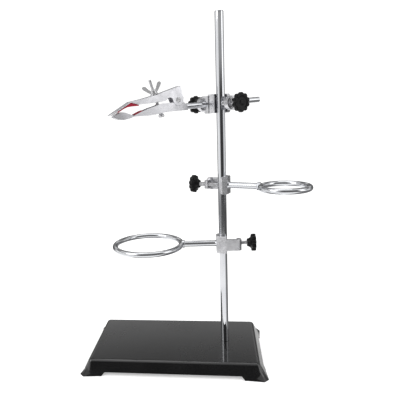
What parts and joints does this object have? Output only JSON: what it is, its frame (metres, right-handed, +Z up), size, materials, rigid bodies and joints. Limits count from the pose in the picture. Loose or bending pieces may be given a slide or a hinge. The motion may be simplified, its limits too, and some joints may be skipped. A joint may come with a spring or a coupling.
{
  "type": "retort stand",
  "caption": "Laboratory retort stand: cast base, upright rod, two ring clamps, and a bosshead holding a two-jaw flask clamp with a wing nut; every clamp slides and has its own thumbscrew.",
  "frame": {"origin": "on the bench, at the centre of the base's four feet", "axes": "+X along the base towards the upright rod's end, -Y faces the user, +Z up the rod"},
  "size_m": [0.3326, 0.1616, 0.5016],
  "materials": {
    "base_paint": "gloss black stoving enamel on a cast-iron base",
    "chromed_steel": "polished chrome plate on steel",
    "bright_casting": "bright sand-cast alloy, edges linished",
    "plated_steel": "bright zinc-plated steel",
    "knob_moulding": "black phenolic moulding, semi-gloss",
    "jaw_plate": "satin zinc-plated pressed steel",
    "jaw_liner": "matt red soft liner"
  },
  "bodies": {
    "stand": {"base_casting": "base_paint", "upright_rod": "chromed_steel", "rod_washer": "plated_steel", "rod_nut": "plated_steel"},
    "lower_clamp": {"lower_clamp_body": "bright_casting", "lower_ring_handle": "chromed_steel", "lower_ring": "chromed_steel"},
    "lower_clamp_screw": {"lower_clamp_screw": "plated_steel"},
    "lower_clamp_knob": {"lower_clamp_knob": "knob_moulding"},
    "upper_clamp": {"upper_clamp_body": "bright_casting", "upper_ring_handle": "chromed_steel", "upper_ring": "chromed_steel"},
    "upper_clamp_screw": {"upper_clamp_screw": "plated_steel"},
    "upper_clamp_knob": {"upper_clamp_knob": "knob_moulding"},
    "bosshead": {"boss_body": "bright_casting"},
    "upright_screw": {"upright_screw": "plated_steel"},
    "upright_knob": {"upright_knob": "knob_moulding"},
    "crossbar_screw": {"crossbar_screw": "plated_steel"},
    "crossbar_knob": {"crossbar_knob": "knob_moulding"},
    "crossbar": {"clamp_rod": "chromed_steel"},
    "clamp_head": {"lower_jaw": "jaw_plate", "lower_liner": "jaw_liner", "jaw_pivot_pin": "plated_steel"},
    "moving_jaw": {"upper_jaw": "jaw_plate", "upper_liner": "jaw_liner"},
    "bolt": {"jaw_bolt": "plated_steel"},
    "washer": {"jaw_washer": "plated_steel"},
    "wing_nut": {"wing_nut": "plated_steel"}
  },
  "joints": [
    {"name": "lower_clamp_slide", "type": "slide", "parent": "stand", "child": "lower_clamp", "axis": [0, 0, 1], "range_m": [-0.14, 0.06]},
    {"name": "upper_clamp_slide", "type": "slide", "parent": "stand", "child": "upper_clamp", "axis": [0, 0, 1], "range_m": [-0.06, 0.085]},
    {"name": "bosshead_slide", "type": "slide", "parent": "stand", "child": "bosshead", "axis": [0, 0, 1], "range_m": [-0.087, 0.105]},
    {"name": "clamp_rod_slide", "type": "slide", "parent": "bosshead", "child": "crossbar", "axis": [-0.8084, -0.5873, -0.0393], "range_m": [-0.03, 0.068]},
    {"name": "clamp_roll", "type": "hinge", "parent": "crossbar", "child": "clamp_head", "pos_m": [0.06484, 0.01618, 0.38], "axis": [-0.8084, -0.5873, -0.0393], "continuous": true},
    {"name": "jaw_pivot", "type": "hinge", "parent": "clamp_head", "child": "moving_jaw", "pos_m": [0.01643, -0.01899, 0.38746], "axis": [-0.5878, 0.809, 0], "range_deg": [-0.6, 22]},
    {"name": "bolt_swing", "type": "hinge", "parent": "clamp_head", "child": "bolt", "pos_m": [-0.00323, -0.03328, 0.36679], "axis": [-0.5878, 0.809, 0], "range_deg": [-0.35, 12.6]},
    {"name": "jaw_washer_slide", "type": "slide", "parent": "bolt", "child": "washer", "axis": [-0.2534, -0.1841, 0.9497], "range_m": [-0.00034, 0.0122]},
    {"name": "wing_nut_spin", "type": "hinge", "parent": "washer", "child": "wing_nut", "pos_m": [-0.01159, -0.03935, 0.39813], "axis": [-0.2534, -0.1841, 0.9497], "range_deg": [-169, 6219]},
    {"name": "lower_clamp_screw_slide", "type": "slide", "parent": "lower_clamp", "child": "lower_clamp_screw", "axis": [0.9984, 0.0558, 0], "range_m": [0, 0.003]},
    {"name": "lower_clamp_knob_turn", "type": "hinge", "parent": "lower_clamp_screw", "child": "lower_clamp_knob", "pos_m": [0.11654, 0.00223, 0.1773], "axis": [0.9984, 0.0558, 0], "range_deg": [0, 1080]},
    {"name": "upper_clamp_screw_slide", "type": "slide", "parent": "upper_clamp", "child": "upper_clamp_screw", "axis": [-0.9265, 0.3762, 0], "range_m": [0, 0.003]},
    {"name": "upper_clamp_knob_turn", "type": "hinge", "parent": "upper_clamp_screw", "child": "upper_clamp_knob", "pos_m": [0.03954, 0.01505, 0.2649], "axis": [-0.9265, 0.3762, 0], "range_deg": [0, 1080]},
    {"name": "upright_screw_slide", "type": "slide", "parent": "bosshead", "child": "upright_screw", "axis": [0.5878, -0.809, 0], "range_m": [0, 0.003]},
    {"name": "upright_knob_turn", "type": "hinge", "parent": "upright_screw", "child": "upright_knob", "pos_m": [0.10011, -0.03236, 0.38], "axis": [0.5878, -0.809, 0], "range_deg": [0, 1080]},
    {"name": "crossbar_screw_slide", "type": "slide", "parent": "bosshead", "child": "crossbar_screw", "axis": [-0.5878, 0.809, 0], "range_m": [0, 0.003]},
    {"name": "crossbar_knob_turn", "type": "hinge", "parent": "crossbar_screw", "child": "crossbar_knob", "pos_m": [0.04133, 0.04854, 0.38], "axis": [-0.5878, 0.809, 0], "range_deg": [0, 1080]}
  ],
  "couplings": [
    {"joint": "jaw_pivot", "follows": "wing_nut_spin", "ratio": 0.0035368},
    {"joint": "bolt_swing", "follows": "wing_nut_spin", "ratio": 0.002016},
    {"joint": "jaw_washer_slide", "follows": "wing_nut_spin", "m_per_rad": 0.00011141},
    {"joint": "lower_clamp_screw_slide", "follows": "lower_clamp_knob_turn", "m_per_rad": 0.00015915},
    {"joint": "upper_clamp_screw_slide", "follows": "upper_clamp_knob_turn", "m_per_rad": 0.00015915},
    {"joint": "upright_screw_slide", "follows": "upright_knob_turn", "m_per_rad": 0.00015915},
    {"joint": "crossbar_screw_slide", "follows": "crossbar_knob_turn", "m_per_rad": 0.00015915}
  ]
}
